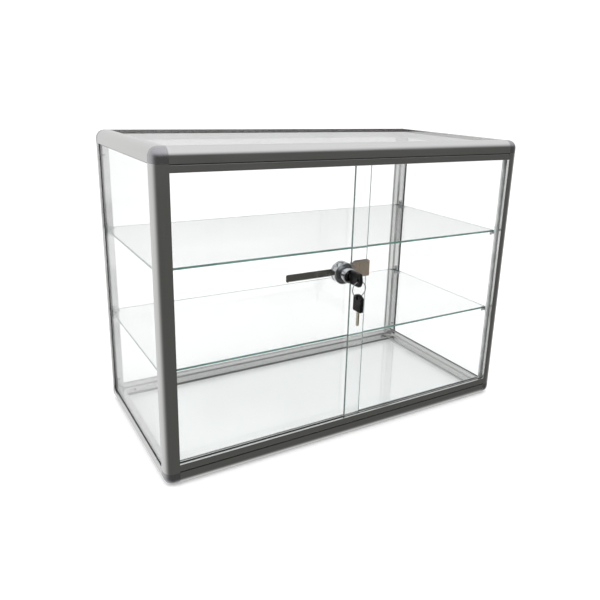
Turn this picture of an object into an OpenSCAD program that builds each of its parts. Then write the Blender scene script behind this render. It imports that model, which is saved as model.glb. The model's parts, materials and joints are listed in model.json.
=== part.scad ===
// Countertop glass display showcase: aluminium edge frame, glass panels, two
// full-depth glass shelves, two sliding glass doors and a ratchet bar lock.
// Millimetres. The origin is the centre of the footprint on the counter;
// +X is to the right of someone facing the doors, -Y is towards them, +Z is up.

/* [Case] */
// Overall width
case_w = 610; // [500:5:800]
// Overall depth, without the lock
case_d = 305; // [260:5:400]
// Overall height
case_h = 457; // [430:1:600]

/* [Edge profile] */
// Side of the square edge profile
profile = 20; // [20:1:24]
// Radius of its rounded outer corner
outer_r = 13; // [9:1:14]
// Distance from an outer face to the glass that it holds
panel_inset = 3; // [2.5:0.5:3]
// Length of a corner connector's legs
leg_len = 22; // [18:1:30]

/* [Glass] */
// Thickness of the fixed panels
panel_t = 4; // [4:0.5:4.5]
// Thickness of the sliding doors
door_t = 4; // [3:0.5:4]
// Thickness of the shelves
shelf_t = 3.2; // [3:0.1:6]

/* [Shelves] */
// Height of the underside of the lower shelf
lower_shelf_z = 158.6; // [120:0.1:180]
// Height of the underside of the upper shelf
upper_shelf_z = 299.4; // [285:0.1:330]
// Gap from the front face of the case to the front edge of a shelf
shelf_setback = 27; // [26:1:60]

/* [Doors] */
// Width by which the closed doors overlap
door_overlap = 32; // [28:1:36]
// Distance of the overlap's centre from the middle of the case
door_shift = 1; // [0:0.5:1]
// Height of the front wall of the lower track above the frame
track_wall_h = 11.5; // [10:0.5:14]
// Height of the front wall of the upper track below the frame
top_track_h = 10.7; // [10:0.1:13]

/* [Lock] */
// Height of the lock's centre line
lock_z = 272; // [240:1:285]
// Diameter of the lock body
lock_d = 33; // [32:0.5:34]
// Diameter of the lock's nose
nose_d = 21.6; // [20:0.2:23]
// Reach of the nose in front of the case
nose_reach = 17.5; // [15:0.5:20]
// Length of the toothed bar to the left of the hook plate
bar_len = 107; // [90:1:120]
// Height of the toothed bar
bar_h = 11; // [10:0.5:11]
// Pitch of the bar's teeth
tooth_pitch = 2.5; // [2:0.1:3]
// Turn of the key from upright, as the closed lock is shown
key_lean = 0; // [0:1:20]

/* [Hidden] */
$fn = 64;

aluminium = "#b7b9bb";
cast_metal = "#9b9da1";
clear_glass = "#d9ebe6";
shelf_glass = "#a9d3c6";
grey_rubber = "#a7a9aa";
black_rubber = "#222324";
nylon = "#2a2b2b";
chrome = "#c9ccd1";
steel = "#77766f";
black_plastic = "#1b1b1d";
brass = "#a39a7a";

eps = 0.01;
half_w = case_w / 2;
half_d = case_d / 2;

// Edge profile: the slots for the glass, the leg chamber and the inner rebate
gasket_t = 1;
slot_w = panel_t + gasket_t;
slot_start = 11.5;             // bottom of a slot, from the outer face
panel_edge = 12;               // edge of a panel, from the outer face
gasket_lip = 0.6;              // how far a gasket stands out of its slot
chamber = 5;
chamber_start = 9;
leg = chamber - 0.1;
inner_notch = 3.5;
door_rebate = 4.8;             // rebate of a front post for the door edges
door_lip = 4;                  // front wall of that rebate
screw_d = 4;
screw_from_end = 18;
screw_axis = chamber_start + chamber / 2;
screw_proud = 0.6;

// Shelves
shelf_gap = 0.5;
shelf_half_w = half_w - panel_inset - slot_w - shelf_gap;
shelf_back = half_d - panel_inset - slot_w - shelf_gap;
shelf_front = -half_d + shelf_setback;
clip_w = 6.6;
clip_plate_t = 1.2;
clip_ledge = 11;
clip_ledge_t = 2.4;
clip_below = 7;
clip_above = 12;
clip_screw_above = 8;
notch_x = half_w - profile - 0.6;
notch_y = half_d - profile - clip_plate_t - 0.6;

// Door tracks; "in" is measured back from the front face of the case
track_front = 0.5;
track_wall = 3.2;
track_rib = 1.4;
track_floor = 2;
groove_w = 6.6;
line_gap = 1.5;                // open joint between rail and track
line_depth = 2.4;
seal_setback = 0.8;            // the joint's black seal from the track's front face
liner_wall = 1.2;
liner_floor = 1.5;
front_door_in = track_front + track_wall + (groove_w - door_t) / 2;
rear_door_in = front_door_in + groove_w + track_rib;
track_depth = track_front + track_wall + 2 * groove_w + 2 * track_rib;
bottom_track_z = profile;
top_track_z = case_h - profile;
door_bottom = bottom_track_z + track_floor + liner_floor + 0.1;
door_top = top_track_z - track_floor - 2.4;
rebate_x = half_w - profile + door_rebate;
left_door_right = door_shift + door_overlap / 2;
right_door_left = door_shift - door_overlap / 2;
door_side_gap = 0.3;
door_w = rebate_x - door_side_gap - right_door_left;
left_door_left = left_door_right - door_w;

// Ratchet bar, in the gap between the two doors
bar_t = 1.6;
bar_in = front_door_in + door_t + 0.6;
pad_t = 0.8;
hook_h = 24;
hook_left = right_door_left + 0.5;
hook_right = left_door_right + pad_t + bar_t;
hook_back_in = rear_door_in + door_t + pad_t;
hook_back_left = left_door_right - 26;
bar_left = hook_left - bar_len;
tooth_depth = 1.4;

// Lock
lock_gap = 0.3;
lock_x = right_door_left - lock_gap - lock_d / 2;
body_back_in = bar_in + bar_t + 0.1;
body_front_in = -2.5;
plate_t = 1.2;
groove_gap = 0.2;
face_recess = 2.4;             // depth of the ring-shaped recess round the nose
plug_d = 13;
plug_bore = 13.1;
plug_back_in = 6.6;
pocket_front_in = 7;
pawl_t = 1.6;
pawl_front_in = pocket_front_in + 0.3;
pawl_lift = 1.2;
tooth_rise = 1.15;             // height of the pawl's tooth above its shoulder
pin_r = 1;
pawl_w = 9;
pawl_top = 4.5;
pawl_bottom = 10.6;
spring_r = 1.3;
spring_wire = 0.25;
spring_turns = 5;
spring_len = 3.4;
keyway_h = 5.7;
keyway_w = 2;

// Keys
blade_h = 5.5;
blade_t = 1.8;
blade_len = 20;
neck = 2.5;
head_len = 25;
head_w = 19.5;
head_round = 14;               // radius of the head's far end
head_square = 13;              // length of its straight-sided part
head_t = 5;
hole_d = 6;
hole_from_end = 5;
ring_r = 11;
ring_wire = 0.7;
key_head_in = -nose_reach - neck;
hole_in = key_head_in - head_len + hole_from_end;
ring_sag = ring_r - sqrt(ring_r * ring_r - head_t * head_t / 4);
ring_gap = 0.25 + ring_sag;
ring_top_z = lock_z - hole_d / 2 + ring_wire + ring_gap;
ring_z = ring_top_z - ring_r;
spare_hole_z = ring_z - ring_r + ring_wire + ring_gap - hole_d / 2;
spare_head_bottom = spare_hole_z + hole_from_end - head_len;

// ---------------------------------------------------------------- edge frame

module rounded_square() {
    intersection() {
        square(profile);
        union() {
            translate([outer_r, outer_r]) circle(r = outer_r);
            translate([outer_r, 0]) square(profile);
            translate([0, outer_r]) square(profile);
        }
    }
}

// Cross-section of an edge member, its outer corner at the origin
module profile_section(slot_a = true, slot_b = true, rebate = false) {
    difference() {
        rounded_square();
        if (slot_a) translate([panel_inset, slot_start]) square([slot_w, profile]);
        if (slot_b) translate([slot_start, panel_inset]) square([profile, slot_w]);
        translate([chamber_start, chamber_start]) square(chamber);
        if (rebate)
            translate([profile - door_rebate, door_lip]) square(profile);
        else
            translate([profile - inner_notch, profile - inner_notch]) square(profile);
    }
}

// A member of length len along Z, with a set-screw bore near each end
module member(len, slot_a = true, slot_b = true, rebate = false, screws_on_a = true) {
    difference() {
        linear_extrude(height = len) profile_section(slot_a, slot_b, rebate);
        screw_places(len, screws_on_a) cylinder(d = screw_d, h = profile);
    }
}

// Children stand on the leg chamber's wall and point out of the inner face
module screw_places(len, screws_on_a) {
    wall = chamber_start + chamber;
    for (z = [screw_from_end, len - screw_from_end])
        if (screws_on_a)
            translate([wall, screw_axis, z]) rotate([0, 90, 0]) children();
        else
            translate([screw_axis, wall, z]) rotate([-90, 0, 0]) children();
}

// The four orientations of an upright, seen from the front left one
module at_post(right, rear) {
    mirror([right ? 1 : 0, 0, 0]) mirror([0, rear ? 1 : 0, 0])
        translate([-half_w, -half_d, profile]) children();
}

// A member along X, on the front bottom edge or its mirror images
module at_long_rail(top, rear) {
    translate([0, 0, top ? case_h : 0]) mirror([0, 0, top ? 1 : 0])
        mirror([0, rear ? 1 : 0, 0])
            translate([-half_w + profile, -half_d, 0]) rotate([90, 0, 90]) children();
}

// A member along Y, on the left bottom edge or its mirror images
module at_side_rail(top, right) {
    translate([0, 0, top ? case_h : 0]) mirror([0, 0, top ? 1 : 0])
        mirror([right ? 1 : 0, 0, 0])
            translate([-half_w, half_d - profile, 0]) rotate([90, 0, 0]) children();
}

post_len = case_h - 2 * profile;
long_len = case_w - 2 * profile;
side_len = case_d - 2 * profile;

module post(right, rear) {
    color(aluminium) at_post(right, rear)
        member(post_len, true, rear, !rear, false);
}

module long_rail(top, rear) {
    color(aluminium) at_long_rail(top, rear)
        member(long_len, rear, true);
}

module side_rail(top, right) {
    color(aluminium) at_side_rail(top, right) member(side_len);
}

// Die-cast corner: a rounded cap, a leg into each member, pockets for the glass
module corner(top, right, rear) {
    color(cast_metal)
        translate([0, 0, top ? case_h : 0]) mirror([0, 0, top ? 1 : 0])
            mirror([right ? 1 : 0, 0, 0]) mirror([0, rear ? 1 : 0, 0])
                translate([-half_w, -half_d, 0]) corner_body(rear);
}

module corner_body(has_end_panel) {
    difference() {
        rounded_cap();
        panel_pocket([panel_inset, slot_start, slot_start]);
        panel_pocket([slot_start, slot_start, panel_inset]);
        if (has_end_panel) panel_pocket([slot_start, panel_inset, slot_start]);
    }
    leg_start = chamber_start + 0.05;
    for (axis = [0:2])
        translate([for (i = [0:2]) i == axis ? profile - eps : leg_start])
            cube([for (i = [0:2]) i == axis ? leg_len : leg]);
}

module panel_pocket(start) {
    translate(start)
        cube([for (s = start) s == panel_inset ? slot_w : profile]);
}

module rounded_cap() {
    intersection() {
        cube(profile);
        union() {
            translate([outer_r, outer_r, outer_r]) {
                sphere(r = outer_r);
                cylinder(r = outer_r, h = profile);
                rotate([-90, 0, 0]) cylinder(r = outer_r, h = profile);
                rotate([0, 90, 0]) cylinder(r = outer_r, h = profile);
            }
            for (axis = [0:2])
                translate([for (i = [0:2]) i == axis ? 0 : outer_r]) cube(profile);
        }
    }
}

// Dome-headed grub screws that clamp the corner legs
module grub_screw() {
    reach = profile - chamber_start - chamber + screw_proud;
    difference() {
        cylinder(d = screw_d - 0.1, h = reach);
        translate([0, 0, reach - 1.5]) cylinder(d = 2, h = 2, $fn = 6);
    }
}

module frame_set_screws() {
    color(steel) {
        for (right = [false, true], rear = [false, true])
            at_post(right, rear) screw_places(post_len, false) grub_screw();
        for (top = [false, true], rear = [false, true])
            at_long_rail(top, rear) screw_places(long_len, true) grub_screw();
        for (top = [false, true], right = [false, true])
            at_side_rail(top, right) screw_places(side_len, true) grub_screw();
    }
}

// -------------------------------------------------------------- fixed panels

// A panel lying flat, size x by y, and the gasket frame that lies on it
module flat_panel(x, y) {
    translate([-x / 2, -y / 2, 0]) cube([x, y, panel_t]);
}

module flat_gasket(x, y) {
    width = profile - panel_edge + gasket_lip - 0.5;
    translate([0, 0, panel_t]) linear_extrude(height = gasket_t) difference() {
        square([x - 1, y - 1], center = true);
        square([x - 1 - 2 * width, y - 1 - 2 * width], center = true);
    }
}

panel_w = case_w - 2 * panel_edge;
panel_d = case_d - 2 * panel_edge;
panel_h = case_h - 2 * panel_edge;

// Children lie flat at z = 0; these put them on the five closed sides
module on_base() { translate([0, 0, panel_inset]) children(); }
module on_top() { translate([0, 0, case_h - panel_inset]) mirror([0, 0, 1]) children(); }
module on_rear() {
    translate([0, half_d - panel_inset, case_h / 2]) rotate([90, 0, 0]) children();
}
module on_side(right) {
    mirror([right ? 1 : 0, 0, 0])
        translate([-half_w + panel_inset, 0, case_h / 2]) rotate([90, 0, 90]) children();
}

module base_glass() { color(clear_glass) on_base() flat_panel(panel_w, panel_d); }
module top_glass() { color(clear_glass) on_top() flat_panel(panel_w, panel_d); }
module rear_glass() { color(clear_glass) on_rear() flat_panel(panel_w, panel_h); }
module side_glass(right) {
    color(clear_glass) on_side(right) flat_panel(panel_d, panel_h);
}
module base_gasket() { color(grey_rubber) on_base() flat_gasket(panel_w, panel_d); }
module top_gasket() { color(grey_rubber) on_top() flat_gasket(panel_w, panel_d); }
module rear_gasket() { color(grey_rubber) on_rear() flat_gasket(panel_w, panel_h); }
module side_gasket(right) {
    color(grey_rubber) on_side(right) flat_gasket(panel_d, panel_h);
}

// ------------------------------------------------------------------- shelves

module shelf(z) {
    color(shelf_glass) translate([0, 0, z]) linear_extrude(height = shelf_t)
        polygon([
            [-shelf_half_w, shelf_front], [shelf_half_w, shelf_front],
            [shelf_half_w, notch_y], [notch_x, notch_y], [notch_x, shelf_back],
            [-notch_x, shelf_back], [-notch_x, notch_y], [-shelf_half_w, notch_y]
        ]);
}

// Children are placed on the inner face of each upright, at a shelf's underside
module at_clips(z) {
    for (right = [false, true], rear = [false, true])
        at_post(right, rear)
            translate([screw_axis, profile, z - profile]) children();
}

module shelf_clips(z) {
    color(aluminium) at_clips(z) difference() {
        union() {
            translate([-clip_w / 2, 0, -clip_below])
                cube([clip_w, clip_plate_t, clip_below + clip_above]);
            translate([-clip_w / 2, 0, -clip_ledge_t])
                cube([clip_w, clip_ledge, clip_ledge_t]);
            translate([-clip_w / 2, clip_ledge - 1.2, -clip_ledge_t - 3])
                cube([clip_w, 1.2, 3 + eps]);
        }
        translate([0, -1, clip_screw_above]) rotate([-90, 0, 0])
            cylinder(d = 2.6, h = 4);
    }
}

module shelf_clip_screws() {
    color(steel)
        for (z = [lower_shelf_z, upper_shelf_z])
            at_clips(z) translate([0, 0, clip_screw_above]) rotate([-90, 0, 0]) {
                cylinder(d = 2.5, h = clip_plate_t + 0.1);
                translate([0, 0, clip_plate_t]) pan_head(4.4, 1.3);
            }
}

// Pan head standing on z = 0, with a cross recess
module pan_head(d, h) {
    difference() {
        union() {
            cylinder(d = d, h = h * 0.55);
            translate([0, 0, h * 0.55 - eps]) cylinder(d1 = d, d2 = d * 0.6, h = h * 0.45);
        }
        for (turn = [0, 90]) rotate([0, 0, turn])
            translate([-d * 0.3, -0.2, h - 0.5]) cube([d * 0.6, 0.4, 1]);
    }
}

// -------------------------------------------------------------------- tracks

// E-shaped section: x runs back from the case's front face, y up from the rail
module track_section(front_h, rib_h, back_h) {
    rib_x = track_front + track_wall + groove_w;
    translate([track_front + line_depth, 0])
        square([track_depth - track_front - line_depth, track_floor]);
    translate([track_front, line_gap]) square([track_wall, front_h - line_gap]);
    translate([rib_x, 0]) square([track_rib, rib_h]);
    translate([track_depth - track_rib, 0]) square([track_rib, back_h]);
}

// Two U-shaped slideways, one in each groove
module liner_section(wall_h) {
    for (i = [0, 1])
        translate([track_front + track_wall + i * (groove_w + track_rib), track_floor])
            difference() {
                square([groove_w, wall_h]);
                translate([liner_wall, liner_floor])
                    square([groove_w - 2 * liner_wall, wall_h]);
            }
}

module along_track(top) {
    translate([0, 0, top ? top_track_z : bottom_track_z])
        mirror([0, 0, top ? 1 : 0])
            translate([-half_w + profile, -half_d, 0]) rotate([90, 0, 90])
                linear_extrude(height = long_len) children();
}

module bottom_track() {
    color(aluminium) along_track(false)
        track_section(track_wall_h, track_wall_h - 1.5, track_wall_h - 3.5);
}
module top_track() {
    color(aluminium) along_track(true)
        track_section(top_track_h, top_track_h, top_track_h);
}

// Black seals set back in the two joints between the front rails and the tracks
module track_joint_seals() {
    color(black_rubber) for (top = [false, true]) along_track(top)
        translate([track_front + seal_setback, 0])
            square([line_depth - seal_setback, line_gap]);
}

module bottom_track_liner() { color(nylon) along_track(false) liner_section(5.5); }
module top_track_liner() { color(nylon) along_track(true) liner_section(7.7); }

// Dust strips in the front posts' rebates, beside each door's closed edge
module door_pile_strips() {
    strip_h = door_top - door_bottom - 10;
    color(grey_rubber) for (right = [false, true])
        mirror([right ? 1 : 0, 0, 0])
            translate([-rebate_x, -half_d + (right ? rear_door_in : front_door_in) + 0.5,
                       door_bottom + 5])
                cube([4.2, door_t - 1, strip_h]);
}

// --------------------------------------------------------------------- doors

module door(left_edge, in) {
    color(clear_glass) translate([left_edge, -half_d + in, door_bottom])
        cube([door_w, door_t, door_top - door_bottom]);
}
module left_door_glass() { door(left_door_left, rear_door_in); }
module right_door_glass() { door(right_door_left, front_door_in); }

// --------------------------------------------------------------- ratchet bar

// Front elevation of the bar: saw teeth along its lower edge, each with a
// steep face towards the hook, and one valley in line with the lock's pawl
module bar_outline() {
    first = lock_x - tooth_pitch * floor((lock_x - bar_left - 4) / tooth_pitch);
    last = hook_left - 10;
    low = -bar_h / 2;
    valley = low + tooth_depth;
    count = floor((last - first) / tooth_pitch);
    teeth = [for (i = [0:count - 1]) let (x = first + i * tooth_pitch)
        each [[x, valley], [x + tooth_pitch - 0.5, low], [x + tooth_pitch, low]]];
    difference() {
        polygon(concat(
            [[bar_left, low], [first - 0.6, low]], teeth,
            [[first + count * tooth_pitch, low], [hook_left + 1, low],
             [hook_left + 1, bar_h / 2], [bar_left, bar_h / 2]]));
        for (side = [-1, 1]) translate([bar_left, side * bar_h / 2])
            mirror([0, side > 0 ? 1 : 0]) corner_cut(2.5);
    }
}

// What a fillet of radius r takes off a corner at the origin
module corner_cut(r) {
    difference() {
        translate([-1, -1]) square(r + 1);
        translate([r, r]) circle(r = r);
    }
}

// Plate of the hook, with a small and a large fillet on its left side
module hook_plate(width) {
    difference() {
        translate([0, -hook_h / 2]) square([width, hook_h]);
        translate([0, -hook_h / 2]) corner_cut(5);
        translate([0, hook_h / 2]) mirror([0, 1]) corner_cut(9);
    }
}

module in_bar_plane(in) {
    translate([0, -half_d + in, lock_z]) rotate([90, 0, 0]) mirror([0, 0, 1]) children();
}

module ratchet_bar() {
    depth = hook_back_in + bar_t - bar_in;
    color(steel) {
        in_bar_plane(bar_in) linear_extrude(height = bar_t) union() {
            bar_outline();
            translate([hook_left, 0]) hook_plate(hook_right - hook_left);
        }
        in_bar_plane(bar_in + eps) translate([hook_right - bar_t, -hook_h / 2, 0])
            cube([bar_t, hook_h, depth - 2 * eps]);
        in_bar_plane(hook_back_in) translate([hook_back_left, 0, 0])
            linear_extrude(height = bar_t) hook_plate(hook_right - hook_back_left);
    }
}

// Rubber channel between the hook and the left door's glass
module hook_pad() {
    pad_h = hook_h - 2;
    front = bar_in + bar_t;
    color(black_rubber) {
        in_bar_plane(front) translate([hook_left + 2, -pad_h / 2, 0])
            cube([hook_right - bar_t - hook_left - 2, pad_h, rear_door_in - front]);
        in_bar_plane(front) translate([left_door_right, -pad_h / 2, 0])
            cube([pad_t, pad_h, hook_back_in - front]);
        in_bar_plane(rear_door_in + door_t) translate([hook_back_left + 4, -pad_h / 2, 0])
            cube([hook_right - bar_t - hook_back_left - 4, pad_h, pad_t]);
    }
}

// ---------------------------------------------------------------------- lock

// Children have their axis along Z, pointing out of the case, with z = 0 at
// the case's front face
module on_lock_axis() {
    translate([lock_x, -half_d, lock_z]) rotate([90, 0, 0]) children();
}

// Half section of the lock body and nose: x is the radius
module housing_section() {
    r = lock_d / 2;
    n = nose_d / 2;
    back = -body_back_in;
    front = -body_front_in;
    polygon([
        [0, back], [r - 1, back], [r, back + 1],
        [r, back + 4.4], [r - 0.6, back + 4.8], [r - 0.6, back + 5.4], [r, back + 5.8],
        [r, front - 1.4], [r - 0.5, front - 0.5], [r - 1.4, front],
        [r - 2.6, front - 0.6], [r - 3, front - face_recess], [n, front - face_recess],
        [n, nose_reach - 3.4], [n - 0.5, nose_reach - 3], [n - 0.5, nose_reach - 2.4],
        [n, nose_reach - 2], [n, nose_reach - 0.9], [n - 0.9, nose_reach],
        [n - 2.2, nose_reach], [n - 2.7, nose_reach - 0.8], [0, nose_reach - 0.8]
    ]);
}

module lock_housing() {
    color(chrome) difference() {
        on_lock_axis() rotate_extrude() housing_section();
        on_lock_axis() translate([0, 0, -pocket_front_in])
            cylinder(d = plug_bore, h = pocket_front_in + nose_reach + 1);
        bar_groove();
        pawl_pocket();
        on_back_screws() translate([0, 0, -6]) cylinder(d = 2, h = 7);
    }
}

// Slot across the back of the body, in which the bar slides
module bar_groove() {
    height = bar_h + 2 * groove_gap;
    translate([lock_x - lock_d, -half_d + bar_in - 0.1, lock_z - height / 2])
        cube([2 * lock_d, bar_t + 1, height]);
}

// Room for the pawl in front of the bar and below it, and for its spring
module pawl_pocket() {
    translate([lock_x - pawl_w / 2 - 0.2, -half_d + pocket_front_in, lock_z - pawl_bottom - 0.2])
        cube([pawl_w + 0.4, bar_in - pocket_front_in, pawl_bottom + pawl_top + pawl_lift + 0.6]);
    translate([lock_x - 2.7, -half_d + pocket_front_in, lock_z - pawl_bottom - 0.2])
        cube([5.4, body_back_in - pocket_front_in + 1, pawl_bottom]);
    translate([lock_x, spring_y, lock_z - pawl_bottom - spring_len - 0.3])
        cylinder(r = spring_r + spring_wire + 0.15, h = spring_len + 1);
}

spring_y = -half_d + (pawl_front_in + body_back_in) / 2;

// Two countersunk screws through the back plate, clear of the bar
module on_back_screws() {
    for (side = [-1, 1])
        translate([lock_x + side * 9, -half_d + body_back_in, lock_z + side * 9.2])
            rotate([-90, 0, 0]) children();
}

module lock_back_plate() {
    color(chrome) difference() {
        on_lock_axis() translate([0, 0, -body_back_in - plate_t])
            cylinder(d = lock_d - 2.4, h = plate_t);
        on_back_screws() countersink(0.05);
    }
}

module countersink(gap) {
    translate([0, 0, -1]) cylinder(d = 2 + 2 * gap, h = 4);
    translate([0, 0, plate_t - 1]) cylinder(d1 = 2 + 2 * gap, d2 = 4 + 2 * gap, h = 1 + eps);
}

module lock_back_screws() {
    color(steel) on_back_screws() {
        translate([0, 0, -5]) cylinder(d = 1.9, h = 5 + plate_t - 1);
        translate([0, 0, plate_t - 1 - eps]) cylinder(d1 = 1.9, d2 = 3.9, h = 1);
    }
}

module upright_key() { translate([lock_x, 0, lock_z]) rotate([0, key_lean, 0]) children(); }

// Key plug: keyway, flange, and the pin that lifts the pawl
module lock_plug() {
    color(chrome) difference() {
        union() {
            on_lock_axis() translate([0, 0, -plug_back_in])
                cylinder(d = plug_d, h = plug_back_in + nose_reach - 0.4);
            on_lock_axis() translate([0, -pawl_lift, -pawl_front_in - pawl_t])
                cylinder(r = pin_r, h = pawl_front_in + pawl_t - plug_back_in + eps);
        }
        upright_key() translate([-keyway_w / 2, -half_d - nose_reach - 1, -keyway_h / 2])
            cube([keyway_w, blade_len + 2.5, keyway_h]);
    }
}

// Ratchet pawl: a plate that the plug's pin lifts, with a tooth under the bar
module lock_pawl() {
    tooth_z = -bar_h / 2 - 0.2;
    slot_h = 2 * pin_r + 0.7;
    color(steel) translate([lock_x, -half_d, lock_z]) difference() {
        union() {
            translate([-pawl_w / 2, pawl_front_in, -pawl_bottom])
                cube([pawl_w, pawl_t, pawl_bottom + pawl_top]);
            translate([-2.3, pawl_front_in, -pawl_bottom])
                cube([4.6, body_back_in - pawl_front_in - 0.2, pawl_bottom + tooth_z - tooth_rise]);
            translate([0, pawl_front_in, 0]) rotate([-90, 0, 0])
                linear_extrude(height = body_back_in - pawl_front_in - 0.2)
                    polygon([[0.2, -tooth_z], [0.4, -tooth_z],
                             [1.6, tooth_rise - tooth_z + eps],
                             [0.2, tooth_rise - tooth_z + eps]]);
        }
        translate([-3, pawl_front_in - 1, -pawl_lift - slot_h / 2])
            cube([6, pawl_t + 2, slot_h]);
    }
}

// Compression spring under the pawl: an open helix of round wire
module lock_pawl_spring() {
    sides = 6;
    per_turn = 16;
    rings = spring_turns * per_turn;
    rise = spring_len - 2 * spring_wire;
    points = [for (k = [0:rings]) let (turn = 360 * k / per_turn,
                                        z = spring_wire + rise * k / rings)
        for (s = [0:sides - 1]) let (a = 360 * s / sides,
                                     r = spring_r + spring_wire * cos(a))
            [r * cos(turn), r * sin(turn), z + spring_wire * sin(a)]];
    walls = [for (k = [0:rings - 1], s = [0:sides - 1])
        let (n = (s + 1) % sides, p = k * sides, q = p + sides)
            [p + s, q + s, q + n, p + n]];
    ends = [[for (s = [0:sides - 1]) s], [for (s = [sides - 1:-1:0]) rings * sides + s]];
    color(steel) translate([lock_x, spring_y, lock_z - pawl_bottom - spring_len - 0.1])
        polyhedron(points = points, faces = concat(walls, ends), convexity = 6);
}

// ---------------------------------------------------------------------- keys

// Blade seen from its side: x runs from the head to the tip
module blade_outline() {
    cuts = [4, 8, 12, 16];
    difference() {
        translate([-4, -blade_h / 2]) square([blade_len + neck + 4, blade_h]);
        for (c = cuts) translate([neck + c, blade_h / 2 + 0.6]) rotate(45)
            square(1.9, center = true);
        for (side = [0, 1]) mirror([0, side])
            translate([blade_len + neck, blade_h / 2]) rotate(45)
                square(2.6, center = true);
    }
}

// Head seen from its side: x runs from the blade's shoulder to the far end
module head_outline() {
    difference() {
        intersection() {
            translate([0, -head_w / 2]) square([head_len, head_w]);
            translate([head_len - head_round, 0]) circle(r = head_round);
        }
        translate([head_len - hole_from_end, 0]) circle(d = hole_d);
    }
    difference() {
        translate([0, -head_w / 2]) square([head_square, head_w]);
        for (side = [0, 1]) mirror([0, side]) translate([0, -head_w / 2]) corner_cut(3);
    }
}

// Children are drawn in the x-y plane; these stand them in the lock and on
// the ring, with x along the blade's line and the plate upright
module key_in_lock() {
    upright_key() translate([0, -half_d + key_head_in, 0]) rotate([90, 0, -90]) children();
}
module key_on_ring() {
    translate([lock_x, -half_d + hole_in, spare_head_bottom]) rotate([0, -90, 0]) children();
}

module blade() {
    translate([0, 0, -blade_t / 2]) linear_extrude(height = blade_t) blade_outline();
}
module head() {
    difference() {
        translate([0, 0, -head_t / 2]) linear_extrude(height = head_t) head_outline();
        translate([-0.1, -blade_h / 2, -blade_t / 2]) cube([4.1, blade_h, blade_t]);
    }
}

module key_blade() { color(brass) key_in_lock() mirror([1, 0, 0]) blade(); }
module key_head() { color(black_plastic) key_in_lock() head(); }
module spare_key_blade() { color(brass) key_on_ring() mirror([1, 0, 0]) blade(); }
module spare_key_head() { color(black_plastic) key_on_ring() head(); }

module key_ring() {
    color(chrome) translate([lock_x, -half_d + hole_in, ring_z]) rotate([90, 0, 0])
        rotate_extrude() translate([ring_r, 0]) circle(r = ring_wire, $fn = 24);
}

// ------------------------------------------------------------------ assembly

post(false, false);  // post_front_left
post(true, false);  // post_front_right
post(false, true);  // post_rear_left
post(true, true);  // post_rear_right
long_rail(false, false);  // bottom_rail_front
long_rail(false, true);  // bottom_rail_rear
side_rail(false, false);  // bottom_rail_left
side_rail(false, true);  // bottom_rail_right
long_rail(true, false);  // top_rail_front
long_rail(true, true);  // top_rail_rear
side_rail(true, false);  // top_rail_left
side_rail(true, true);  // top_rail_right
corner(false, false, false);  // corner_bottom_front_left
corner(false, true, false);  // corner_bottom_front_right
corner(false, false, true);  // corner_bottom_rear_left
corner(false, true, true);  // corner_bottom_rear_right
corner(true, false, false);  // corner_top_front_left
corner(true, true, false);  // corner_top_front_right
corner(true, false, true);  // corner_top_rear_left
corner(true, true, true);  // corner_top_rear_right
frame_set_screws();
base_glass();
top_glass();
rear_glass();
side_glass(false);  // left_glass
side_glass(true);  // right_glass
base_gasket();
top_gasket();
rear_gasket();
side_gasket(false);  // left_gasket
side_gasket(true);  // right_gasket
shelf(upper_shelf_z);  // upper_shelf
shelf(lower_shelf_z);  // lower_shelf
shelf_clips(upper_shelf_z);  // upper_shelf_clips
shelf_clips(lower_shelf_z);  // lower_shelf_clips
shelf_clip_screws();
bottom_track();
top_track();
track_joint_seals();
bottom_track_liner();
top_track_liner();
door_pile_strips();
left_door_glass();
right_door_glass();
ratchet_bar();
hook_pad();
lock_housing();
lock_back_plate();
lock_back_screws();
lock_plug();
lock_pawl();
lock_pawl_spring();
key_blade();
key_head();
key_ring();
spare_key_blade();
spare_key_head();
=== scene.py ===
"""Looks of the countertop glass showcase: polished panes, brushed aluminium, chrome lock and keys.

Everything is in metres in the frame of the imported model: +X right, +Y away from the doors, +Z up."""

import json
import math

import bmesh
import bpy
from mathutils import Matrix, Vector


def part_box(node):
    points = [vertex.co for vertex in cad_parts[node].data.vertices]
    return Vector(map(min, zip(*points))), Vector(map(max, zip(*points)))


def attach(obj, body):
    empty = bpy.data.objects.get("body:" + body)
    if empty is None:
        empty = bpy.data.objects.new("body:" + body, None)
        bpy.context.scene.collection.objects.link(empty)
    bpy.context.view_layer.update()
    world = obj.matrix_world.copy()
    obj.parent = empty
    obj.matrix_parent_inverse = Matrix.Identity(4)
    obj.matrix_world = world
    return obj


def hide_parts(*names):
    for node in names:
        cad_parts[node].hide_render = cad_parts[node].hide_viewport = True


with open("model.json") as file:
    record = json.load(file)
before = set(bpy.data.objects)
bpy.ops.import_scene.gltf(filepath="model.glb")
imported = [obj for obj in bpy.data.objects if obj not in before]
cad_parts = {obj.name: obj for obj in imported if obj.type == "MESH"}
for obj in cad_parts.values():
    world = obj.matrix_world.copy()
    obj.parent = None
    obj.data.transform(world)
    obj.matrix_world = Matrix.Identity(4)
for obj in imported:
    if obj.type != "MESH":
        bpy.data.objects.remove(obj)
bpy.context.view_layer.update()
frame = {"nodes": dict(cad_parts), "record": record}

SLOT_OF = {part["node"]: part["material_slot"] for part in frame["record"]["subparts"]}
BODY_OF = {
    node: body
    for body, nodes in frame["record"]["behaviour"]["bodies"].items()
    for node in nodes
}
MM = 0.001


# ---------------------------------------------------------------- node graphs


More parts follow.
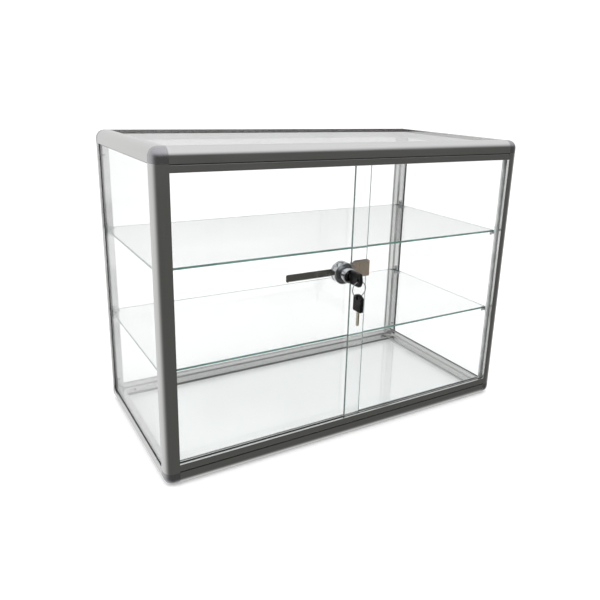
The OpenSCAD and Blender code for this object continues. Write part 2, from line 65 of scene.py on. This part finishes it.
class Graph:
    """A node tree with short ways to add nodes and join them."""

    def __init__(self, tree):
        self.tree = tree

    def add(self, kind, inputs=None, **settings):
        node = self.tree.nodes.new(kind)
        for name, value in settings.items():
            setattr(node, name, value)
        for key, value in (inputs or {}).items():
            self.join(value, node.inputs[key])
        return node

    def join(self, value, socket):
        if isinstance(value, bpy.types.NodeSocket):
            self.tree.links.new(value, socket)
        else:
            socket.default_value = value

    def math(self, operation, *values, clamp=False):
        node = self.add("ShaderNodeMath", operation=operation, use_clamp=clamp)
        for value, socket in zip(values, node.inputs):
            self.join(value, socket)
        return node.outputs[0]

    def smooth(self, value, low, high, to_low=0.0, to_high=1.0):
        node = self.add(
            "ShaderNodeMapRange",
            {"Value": value, "From Min": low, "From Max": high, "To Min": to_low, "To Max": to_high},
            interpolation_type="SMOOTHSTEP",
        )
        return node.outputs["Result"]

    def blend(self, factor, first, second):
        node = self.add("ShaderNodeMix", data_type="RGBA")
        self.join(factor, node.inputs["Factor"])
        self.join(first, node.inputs[6])
        self.join(second, node.inputs[7])
        return node.outputs[2]

    def mix_shader(self, factor, first, second):
        node = self.add("ShaderNodeMixShader")
        self.join(factor, node.inputs[0])
        self.join(first, node.inputs[1])
        self.join(second, node.inputs[2])
        return node.outputs[0]

    def place(self, scale):
        """Object coordinates, which are the row frame's, stretched by scale."""
        coords = self.add("ShaderNodeTexCoord").outputs["Object"]
        return self.add("ShaderNodeMapping", {"Vector": coords, "Scale": scale}).outputs[0]

    def noise(self, vector, scale, detail=3.0, roughness=0.5):
        node = self.add(
            "ShaderNodeTexNoise",
            {"Vector": vector, "Scale": scale, "Detail": detail, "Roughness": roughness},
        )
        return node.outputs["Fac"]


def new_material(name):
    """A material with only its output node, and the graph to build it in."""
    material = bpy.data.materials.new(name)
    material.use_nodes = True
    tree = material.node_tree
    tree.nodes.clear()
    graph = Graph(tree)
    graph.output = graph.add("ShaderNodeOutputMaterial")
    return material, graph


def rgba(colour):
    return (*colour, 1.0)


# ------------------------------------------------------------------ materials


def brushed_metal(name, colour, axis, rough=(0.09, 0.19), lines=2400.0, bump=0.06):
    """Metal with fine lines along one axis, or an even grain if axis is None."""
    material, g = new_material(name)
    scale = [1.0, 1.0, 1.0]
    if axis is not None:
        scale = [lines / 100.0] * 3
        scale[axis] = 0.12
    where = g.place(scale)
    fine = g.noise(where, 100.0 if axis is not None else lines, 4.0, 0.65)
    cloud = g.noise(g.place((1, 1, 1)), 9.0, 3.0)
    roughness = g.smooth(fine, 0.25, 0.75, *rough)
    roughness = g.math("ADD", roughness, g.smooth(cloud, 0.35, 0.7, -0.02, 0.04))
    darker = tuple(c * 0.94 for c in colour)
    tone = g.blend(g.smooth(fine, 0.3, 0.7), rgba(darker), rgba(colour))
    relief = g.add("ShaderNodeBump", {"Height": fine, "Strength": bump, "Distance": 0.05 * MM})
    shader = g.add(
        "ShaderNodeBsdfPrincipled",
        {"Base Color": tone, "Metallic": 1.0, "Roughness": roughness, "Normal": relief.outputs[0]},
    )
    g.join(shader.outputs[0], g.output.inputs["Surface"])
    return material


def bar_metal(name, bar, hook, hook_start):
    """Drawn steel whose lines run along the bar, with a darker brown colour on its hook."""
    material = brushed_metal(name, bar, 0, (0.1, 0.22), 2600.0, 0.12)
    g = Graph(material.node_tree)
    coords = g.add("ShaderNodeTexCoord").outputs["Object"]
    x = g.add("ShaderNodeSeparateXYZ", {"Vector": coords}).outputs["X"]
    shader = next(n for n in material.node_tree.nodes if n.type == "BSDF_PRINCIPLED")
    tone = shader.inputs["Base Color"].links[0].from_socket
    # the hook is painted a darker brown from hook_start on
    past = g.smooth(x, hook_start - 2 * MM, hook_start + 2 * MM)
    g.join(g.blend(past, tone, rgba(hook)), shader.inputs["Base Color"])
    return material


def cast_metal(name, colour, rough, grain=900.0, bump=0.25):
    """Tumbled die casting: a fine even grain with slightly cloudy gloss."""
    material, g = new_material(name)
    where = g.place((1, 1, 1))
    grain_height = g.noise(where, grain, 2.0, 0.6)
    cloud = g.noise(where, 45.0, 3.0)
    roughness = g.smooth(cloud, 0.3, 0.7, *rough)
    tone = g.blend(g.smooth(cloud, 0.3, 0.7), rgba(colour), rgba(tuple(c * 0.88 for c in colour)))
    relief = g.add(
        "ShaderNodeBump", {"Height": grain_height, "Strength": bump, "Distance": 0.06 * MM}
    )
    shader = g.add(
        "ShaderNodeBsdfPrincipled",
        {"Base Color": tone, "Metallic": 1.0, "Roughness": roughness, "Normal": relief.outputs[0]},
    )
    g.join(shader.outputs[0], g.output.inputs["Surface"])
    return material


def dull_material(name, colour, rough, grain, bump, stretch=(1, 1, 1), spread=0.85, **extra):
    """Rubber, nylon, pile or moulded plastic: a coloured, grained, non-metal surface."""
    material, g = new_material(name)
    where = g.place(stretch)
    height = g.noise(where, grain, 3.0, 0.6)
    cloud = g.noise(g.place((1, 1, 1)), 60.0, 3.0)
    tone = g.blend(g.smooth(cloud, 0.3, 0.7), rgba(colour), rgba(tuple(c * spread for c in colour)))
    roughness = g.smooth(height, 0.3, 0.7, *rough)
    relief = g.add("ShaderNodeBump", {"Height": height, "Strength": bump, "Distance": 0.1 * MM})
    inputs = {"Base Color": tone, "Roughness": roughness, "Normal": relief.outputs[0]}
    inputs.update(extra)
    shader = g.add("ShaderNodeBsdfPrincipled", inputs)
    g.join(shader.outputs[0], g.output.inputs["Surface"])
    return material


def pane_glass(name, tint):
    """Float glass: it bends and mirrors light, and lets lamps through to what is inside."""
    material, g = new_material(name)
    cloud = g.noise(g.place((1, 1, 1)), 7.0, 2.0)
    colour = g.blend(g.smooth(cloud, 0.3, 0.7), rgba(tint), rgba(tuple(c * 0.985 for c in tint)))
    solid = g.add(
        "ShaderNodeBsdfPrincipled",
        {"Base Color": colour, "Roughness": 0.0, "IOR": 1.5, "Transmission Weight": 1.0},
    )
    clear = g.add("ShaderNodeBsdfTransparent", {"Color": rgba(tuple(c * 0.96 for c in tint))})
    path = g.add("ShaderNodeLightPath")
    lamp = g.math("MAXIMUM", path.outputs["Is Shadow Ray"], path.outputs["Is Diffuse Ray"])
    both = g.mix_shader(lamp, solid.outputs[0], clear.outputs[0])
    g.join(both, g.output.inputs["Surface"])
    return material


def glass_edge(name, core, pale):
    """The polished edge of a pane, where the iron in the glass shows green."""
    material, g = new_material(name)
    streak = g.noise(g.place((1, 1, 14)), 38.0, 3.0)
    tone = g.blend(g.smooth(streak, 0.3, 0.7), rgba(core), rgba(pale))
    roughness = g.smooth(streak, 0.3, 0.7, 0.12, 0.24)
    shader = g.add(
        "ShaderNodeBsdfPrincipled",
        {"Base Color": tone, "Roughness": roughness, "IOR": 1.5, "Transmission Weight": 0.35},
    )
    g.join(shader.outputs[0], g.output.inputs["Surface"])
    return material


ALUMINIUM = (0.76, 0.76, 0.75)
METAL_X = brushed_metal("anodised_lines_x", ALUMINIUM, 0)
METAL_Y = brushed_metal("anodised_lines_y", ALUMINIUM, 1)
METAL_Z = brushed_metal("anodised_lines_z", ALUMINIUM, 2)
CAST = cast_metal("cast_corner", (0.5, 0.5, 0.52), (0.2, 0.3))
SCREW = cast_metal("zinc_screw", (0.42, 0.42, 0.43), (0.3, 0.42), 2500.0, 0.1)
CHROME = cast_metal("chrome_plate", (0.66, 0.67, 0.69), (0.02, 0.05), 300.0, 0.02)
BAR = bar_metal("bar_steel_lines", (0.6, 0.59, 0.55), (0.19, 0.148, 0.105), -15 * MM)
KEY = brushed_metal("key_nickel", (0.52, 0.47, 0.34), 2, (0.2, 0.36), 2600.0, 0.2)
GREY_RUBBER = dull_material("grey_rubber", (0.62, 0.63, 0.62), (0.45, 0.6), 700.0, 0.15)
BLACK_RUBBER = dull_material("black_rubber", (0.02, 0.02, 0.02), (0.5, 0.7), 900.0, 0.2)
NYLON = dull_material("black_nylon", (0.085, 0.105, 0.095), (0.35, 0.5), 500.0, 0.08)
PILE = dull_material(
    "grey_pile", (0.7, 0.71, 0.7), (0.75, 0.95), 2200.0, 0.6, (1, 1, 0.3), 0.75, **{"Sheen Weight": 0.4}
)
BLACK_PLASTIC = dull_material(
    "key_plastic", (0.004, 0.004, 0.004), (0.3, 0.42), 1500.0, 0.2, **{"Specular IOR Level": 0.22}
)
GLASS = pane_glass("clear_float_glass", (0.988, 0.993, 0.991))
SHELF_GLASS = pane_glass("shelf_float_glass", (0.985, 0.99, 0.989))
EDGE = glass_edge("pane_edge", (0.12, 0.18, 0.16), (0.26, 0.34, 0.31))
SHELF_EDGE = glass_edge("shelf_edge", (0.06, 0.19, 0.155), (0.14, 0.33, 0.28))

MATERIAL_OF_SLOT = {
    "cast_aluminium": CAST,
    "screw_steel": SCREW,
    "clear_glass": GLASS,
    "shelf_glass": SHELF_GLASS,
    "grey_rubber": GREY_RUBBER,
    "black_nylon": NYLON,
    "grey_pile": PILE,
    "bar_steel": BAR,
    "black_rubber": BLACK_RUBBER,
    "chrome": CHROME,
    "key_steel": KEY,
    "black_plastic": BLACK_PLASTIC,
}


def member_metal(node):
    """The anodised metal whose lines run along this member."""
    low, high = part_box(node)
    size = high - low
    return (METAL_X, METAL_Y, METAL_Z)[max(range(3), key=lambda axis: size[axis])]


def material_of(node):
    """The material for a CAD node: its slot's, or for the frame the lines along the member."""
    slot = SLOT_OF[node]
    return member_metal(node) if slot == "anodised_aluminium" else MATERIAL_OF_SLOT[slot]


def paint_cad():
    """Gives every CAD node its material."""
    for node, obj in frame["nodes"].items():
        obj.data.materials.clear()
        obj.data.materials.append(material_of(node))


# ---------------------------------------------------------------- fine pieces


def copy_of(node, name, materials):
    """A copy of a CAD node's mesh with its vertices joined, standing for that node."""
    mesh = frame["nodes"][node].data.copy()
    mesh.name = name
    mesh.materials.clear()
    for material in materials:
        mesh.materials.append(material)
    cleaned = bmesh.new()
    cleaned.from_mesh(mesh)
    bmesh.ops.remove_doubles(cleaned, verts=cleaned.verts, dist=0.002 * MM)
    bmesh.ops.dissolve_limit(
        cleaned, angle_limit=math.radians(0.5), verts=cleaned.verts, edges=cleaned.edges
    )
    for face in cleaned.faces:
        face.material_index = 0
    cleaned.to_mesh(mesh)
    cleaned.free()
    piece = bpy.data.objects.new(name, mesh)
    bpy.context.collection.objects.link(piece)
    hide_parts(node)
    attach(piece, BODY_OF[node])
    return piece


def apply_modifiers(piece):
    """Makes the piece's modifiers part of its mesh."""
    graph = bpy.context.evaluated_depsgraph_get()
    mesh = bpy.data.meshes.new_from_object(piece.evaluated_get(graph))
    piece.modifiers.clear()
    piece.data = mesh


def smooth_by_angle(mesh, degrees):
    """Shades a mesh smooth, apart from edges sharper than this angle."""
    mesh.polygons.foreach_set("use_smooth", [True] * len(mesh.polygons))
    mesh.set_sharp_from_angle(angle=math.radians(degrees))


def round_edges(piece, width, segments=1, angle=35):
    """Cuts a flat arris with one segment, or rounds with more and keeps the flats flat."""
    rounded = segments > 1
    if rounded:
        smooth_by_angle(piece.data, angle)
    bevel = piece.modifiers.new("bevel", "BEVEL")
    bevel.width = width
    bevel.segments = segments
    bevel.limit_method = "ANGLE"
    bevel.angle_limit = math.radians(angle)
    bevel.harden_normals = rounded
    apply_modifiers(piece)


def paint_edges(piece, thin_axis):
    """Gives the second material to the faces round a pane, leaving its two flat faces."""
    for face in piece.data.polygons:
        face.material_index = 0 if abs(face.normal[thin_axis]) > 0.9 else 1


def polished_panes():
    """Every pane with its arrises ground off and its edges green."""
    for node, slot in SLOT_OF.items():
        if slot not in ("clear_glass", "shelf_glass"):
            continue
        low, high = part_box(node)
        size = high - low
        thin = min(range(3), key=lambda axis: size[axis])
        shelf = slot == "shelf_glass"
        faces, edge = (SHELF_GLASS, SHELF_EDGE) if shelf else (GLASS, EDGE)
        piece = copy_of(node, node + "_pane", [faces, edge])
        round_edges(piece, (0.45 if shelf else 0.35) * MM)
        paint_edges(piece, thin)


def soft_edged_parts():
    """Moulded, cast and stamped parts, whose real edges are rounded."""
    widths = {
        "key_head": 0.9, "spare_key_head": 0.9,
        "key_blade": 0.15, "spare_key_blade": 0.15,
        "hook_pad": 0.3,
        "bottom_track": 0.35, "top_track": 0.35,
    }
    for node, width in widths.items():
        piece = copy_of(node, node + "_shape", [material_of(node)])
        round_edges(piece, width * MM, 3)


def strip_box(name, low, high, material, body):
    """A plain straight strip between two corners, riding on a body."""
    mesh = bpy.data.meshes.new(name)
    shape = bmesh.new()
    bmesh.ops.create_cube(shape, size=1.0)
    size, middle = Vector(high) - Vector(low), (Vector(high) + Vector(low)) / 2
    bmesh.ops.transform(shape, matrix=Matrix.Diagonal((*size, 1)), verts=shape.verts)
    bmesh.ops.translate(shape, vec=middle, verts=shape.verts)
    shape.to_mesh(mesh)
    shape.free()
    mesh.materials.append(material)
    strip = bpy.data.objects.new(name, mesh)
    bpy.context.collection.objects.link(strip)
    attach(strip, body)
    return strip


def side_shade_lines():
    """Thin black strips on the glass along the corner between each side pane and the lips round it:
    painted shade lines where the lips meet the glass.
    """
    lip, width, proud = 8 * MM, 1.5 * MM, 0.7 * MM
    for side, out in (("left", -1), ("right", 1)):
        low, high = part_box(side + "_glass")
        face = low.x if out < 0 else high.x
        x = sorted((face, face + out * proud))
        front, rear = low.y + lip, high.y - lip
        bottom, top = low.z + lip, high.z - lip
        runs = {
            "bottom": ((front, bottom), (rear, bottom + width)),
            "top": ((front, top - width), (rear, top)),
            "front": ((front, bottom + width), (front + width, top - width)),
            "rear": ((rear - width, bottom + width), (rear, top - width)),
        }
        for where, (start, end) in runs.items():
            name = f"{side}_shade_line_{where}"
            # each strip is a painted shade line, a black strip standing proud of the glass
            strip_box(name, (x[0], *start), (x[1], *end), BLACK_RUBBER, "case")


# ------------------------------------------------------------- camera, lights


def make_camera():
    """The viewing angle: from the front left, above the case."""
    yaw, pitch, roll = 0.5532, -0.2882, 0.034
    forward = Vector(
        (math.sin(yaw) * math.cos(pitch), math.cos(yaw) * math.cos(pitch), math.sin(pitch))
    )
    level = Vector((math.cos(yaw), -math.sin(yaw), 0.0))
    upright = level.cross(forward)
    right = math.cos(roll) * level + math.sin(roll) * upright
    up = math.cos(roll) * upright - math.sin(roll) * level
    data = bpy.data.cameras.new("camera")
    data.sensor_width = 36.0
    data.lens = 36.88
    data.shift_x, data.shift_y = -0.0334, -0.0460
    place = (-0.5114, -0.8632, 0.5260)
    camera = bpy.data.objects.new("camera", data)
    turn = Matrix((right, up, -forward)).transposed().to_4x4()
    camera.matrix_world = Matrix.Translation(place) @ turn
    bpy.context.collection.objects.link(camera)
    bpy.context.scene.camera = camera


def sheet_mesh(name, low, high, z):
    """A flat sheet of the stage, level at height z."""
    mesh = bpy.data.meshes.new(name)
    (left, near), (right, far) = low, high
    corners = [(left, near, z), (right, near, z), (right, far, z), (left, far, z)]
    mesh.from_pydata(corners, [], [(0, 1, 2, 3)])
    obj = bpy.data.objects.new(name, mesh)
    bpy.context.collection.objects.link(obj)
    return obj


def make_floor():
    """A plain pale floor, just under the case, which metal and glass do not mirror."""
    half_size = 8
    floor = sheet_mesh("floor", (-half_size, -half_size), (half_size, half_size), -0.6 * MM)
    material, g = new_material("pale_floor")
    grain = g.noise(g.place((1, 1, 1)), 60.0, 2.0)
    tone = g.blend(grain, (0.87, 0.87, 0.87, 1), (0.9, 0.9, 0.9, 1))
    shader = g.add(
        "ShaderNodeBsdfPrincipled",
        {"Base Color": tone, "Roughness": 0.9, "Emission Color": tone, "Emission Strength": 0.22},
    )
    g.join(shader.outputs[0], g.output.inputs["Surface"])
    floor.data.materials.append(material)
    floor.visible_glossy = False


def make_world():
    """White all round for what is seen, and a plain soft studio for metal and glass to mirror."""
    world = bpy.data.worlds.new("studio")
    world.use_nodes = True
    world.node_tree.nodes.clear()
    g = Graph(world.node_tree)
    direction = g.add("ShaderNodeTexCoord").outputs["Generated"]
    _, depth, height = g.add("ShaderNodeSeparateXYZ", {"Vector": direction}).outputs
    front_wall, back_wall = (0.1, 0.1, 0.095, 1), (0.75, 0.75, 0.75, 1)
    ceiling, white = (0.9, 0.9, 0.92, 1), (1.2, 1.2, 1.2, 1)
    walls = g.blend(g.smooth(depth, -0.6, 0.6), front_wall, back_wall)
    studio = g.blend(g.smooth(height, 0.2, 0.8), walls, ceiling)
    path = g.add("ShaderNodeLightPath")
    mirrors = g.math("MINIMUM", path.outputs["Glossy Depth"], 1.0)
    colour = g.blend(mirrors, white, studio)
    background = g.add("ShaderNodeBackground", {"Color": colour, "Strength": 1.0})
    output = g.add("ShaderNodeOutputWorld")
    g.join(background.outputs[0], output.inputs["Surface"])
    bpy.context.scene.world = world


def make_lights():
    """One soft box above the front left, which metal and glass do not mirror."""
    light = bpy.data.lights.new("softbox", "AREA")
    light.shape = "RECTANGLE"
    light.size, light.size_y = 1.4, 1.0
    light.energy = 9.0
    lamp = bpy.data.objects.new("softbox", light)
    lamp.location = (-0.5, -0.4, 1.7)
    aim = Vector((0.05, 0.0, 0.2)) - lamp.location
    lamp.rotation_euler = aim.to_track_quat("-Z", "Y").to_euler()
    lamp.visible_glossy = False
    bpy.context.collection.objects.link(lamp)


def set_colours():
    """Plain colours, with no film look over them."""
    scene = bpy.context.scene
    scene.view_settings.view_transform = "Standard"
    scene.view_settings.look = "None"


make_camera()
make_world()
make_lights()
make_floor()
set_colours()
paint_cad()
polished_panes()
soft_edged_parts()
side_shade_lines()
